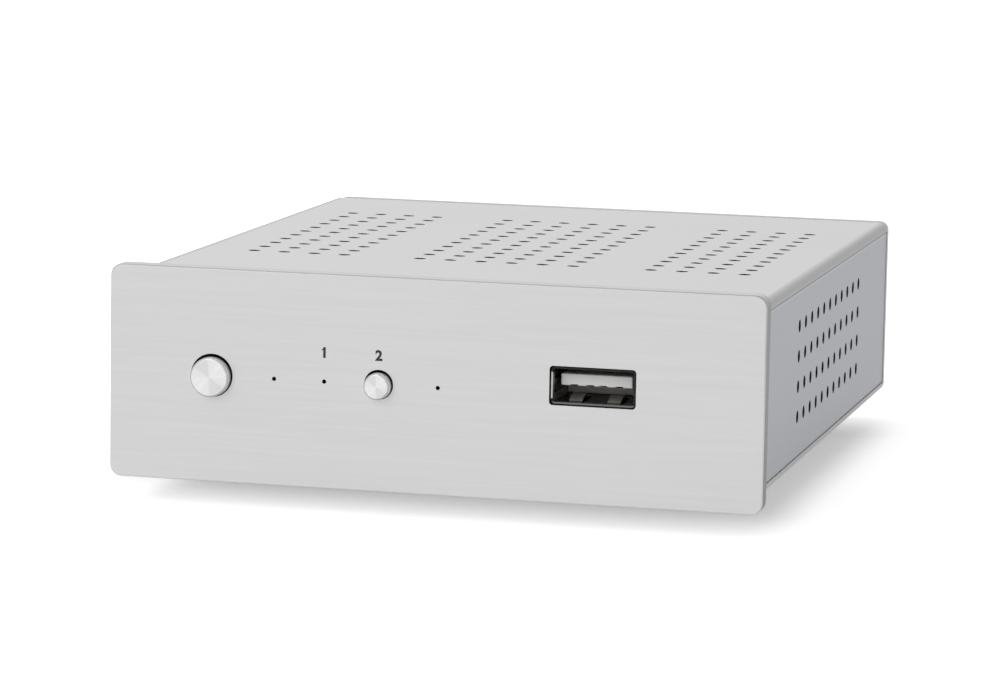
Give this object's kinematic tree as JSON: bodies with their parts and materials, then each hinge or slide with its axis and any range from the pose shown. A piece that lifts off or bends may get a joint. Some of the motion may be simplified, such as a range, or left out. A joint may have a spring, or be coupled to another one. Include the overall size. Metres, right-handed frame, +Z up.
{
  "type": "network music streamer",
  "caption": "Compact network music player in a vented aluminium case with push buttons, pin-hole lamps, front and rear USB sockets and a network socket.",
  "frame": {"origin": "on the shelf, under the middle of the whole object's bounding box", "axes": "+X to the right as seen from the front, +Y from the front panel to the back, +Z up"},
  "size_m": [0.103, 0.1324, 0.037],
  "materials": {
    "aerial_insulator": "white",
    "aerial_jack": "gold flash",
    "aerial_nut": "gold flash",
    "board_header": "plain",
    "bottom_cover": "satin anodised",
    "capacitors": "plain can",
    "clock_oscillators": "plated can",
    "compute_module_board": "green solder resist",
    "control_board": "green solder resist",
    "control_board_screws": "zinc plated",
    "control_board_spacers": "nickel-free turned brass",
    "dc_inlet_body": "plain",
    "dc_inlet_pin": "plated",
    "front_panel": "fine horizontal brushing",
    "front_plate_screws": "zinc plated",
    "front_usb_contacts": "gold flash",
    "front_usb_insulator": "pale moulding",
    "front_usb_shell": "tin plated sheet",
    "heat_sink": "dark anodised",
    "inductors": "plain",
    "inner_front_plate": "satin",
    "input_1_led": "clear diffusing body",
    "input_2_led": "clear diffusing body",
    "lamp_spacers": "plain",
    "left_side_rail": "satin anodised",
    "main_board": "green solder resist",
    "memory_chip": "plain",
    "module_connectors": "plain",
    "network_socket_body": "plain",
    "network_socket_contacts": "gold flash",
    "network_socket_shield": "tin plated sheet",
    "panel_screws": "zinc plated",
    "pc_socket_contacts": "gold flash",
    "pc_socket_insulator": "pale moulding",
    "pc_socket_shell": "tin plated sheet",
    "power_button": "turned face",
    "power_led": "clear diffusing body",
    "power_switch_body": "plain",
    "power_switch_plunger": "plain",
    "processor_chip": "plain",
    "rear_panel": "satin anodised",
    "rear_panel_screws": "zinc plated",
    "rear_usb_1_contacts": "gold flash",
    "rear_usb_1_insulator": "pale moulding",
    "rear_usb_1_shell": "tin plated sheet",
    "rear_usb_2_contacts": "gold flash",
    "rear_usb_2_insulator": "pale moulding",
    "rear_usb_2_shell": "tin plated sheet",
    "right_side_rail": "satin anodised",
    "rubber_feet": "matt",
    "source_button": "turned face",
    "source_switch_body": "plain",
    "source_switch_plunger": "plain",
    "top_cover": "satin anodised",
    "usb_bridge_chip": "plain",
    "wifi_module": "green solder resist"
  },
  "bodies": {
    "case": {"aerial_insulator": "aerial_insulator", "aerial_jack": "aerial_jack", "aerial_nut": "aerial_nut", "board_header": "board_header", "bottom_cover": "bottom_cover", "capacitors": "capacitors", "clock_oscillators": "clock_oscillators", "compute_module_board": "compute_module_board", "control_board": "control_board", "control_board_screws": "control_board_screws", "control_board_spacers": "control_board_spacers", "dc_inlet_body": "dc_inlet_body", "dc_inlet_pin": "dc_inlet_pin", "front_panel": "front_panel", "front_plate_screws": "front_plate_screws", "front_usb_contacts": "front_usb_contacts", "front_usb_insulator": "front_usb_insulator", "front_usb_shell": "front_usb_shell", "heat_sink": "heat_sink", "inductors": "inductors", "inner_front_plate": "inner_front_plate", "input_1_led": "input_1_led", "input_2_led": "input_2_led", "lamp_spacers": "lamp_spacers", "left_side_rail": "left_side_rail", "main_board": "main_board", "memory_chip": "memory_chip", "module_connectors": "module_connectors", "network_socket_body": "network_socket_body", "network_socket_contacts": "network_socket_contacts", "network_socket_shield": "network_socket_shield", "panel_screws": "panel_screws", "pc_socket_contacts": "pc_socket_contacts", "pc_socket_insulator": "pc_socket_insulator", "pc_socket_shell": "pc_socket_shell", "power_led": "power_led", "power_switch_body": "power_switch_body", "processor_chip": "processor_chip", "rear_panel": "rear_panel", "rear_panel_screws": "rear_panel_screws", "rear_usb_1_contacts": "rear_usb_1_contacts", "rear_usb_1_insulator": "rear_usb_1_insulator", "rear_usb_1_shell": "rear_usb_1_shell", "rear_usb_2_contacts": "rear_usb_2_contacts", "rear_usb_2_insulator": "rear_usb_2_insulator", "rear_usb_2_shell": "rear_usb_2_shell", "right_side_rail": "right_side_rail", "rubber_feet": "rubber_feet", "source_switch_body": "source_switch_body", "top_cover": "top_cover", "usb_bridge_chip": "usb_bridge_chip", "wifi_module": "wifi_module"},
    "power_control": {"power_button": "power_button", "power_switch_plunger": "power_switch_plunger"},
    "source_control": {"source_button": "source_button", "source_switch_plunger": "source_switch_plunger"}
  },
  "joints": [
    {"name": "power_button_press", "type": "slide", "parent": "case", "child": "power_control", "axis": [0, 1, 0], "range_m": [0, 0.0005], "stiffness_N_per_m": 400, "springref_m": -0.003},
    {"name": "source_button_press", "type": "slide", "parent": "case", "child": "source_control", "axis": [0, 1, 0], "range_m": [0, 0.0005], "stiffness_N_per_m": 400, "springref_m": -0.003}
  ]
}
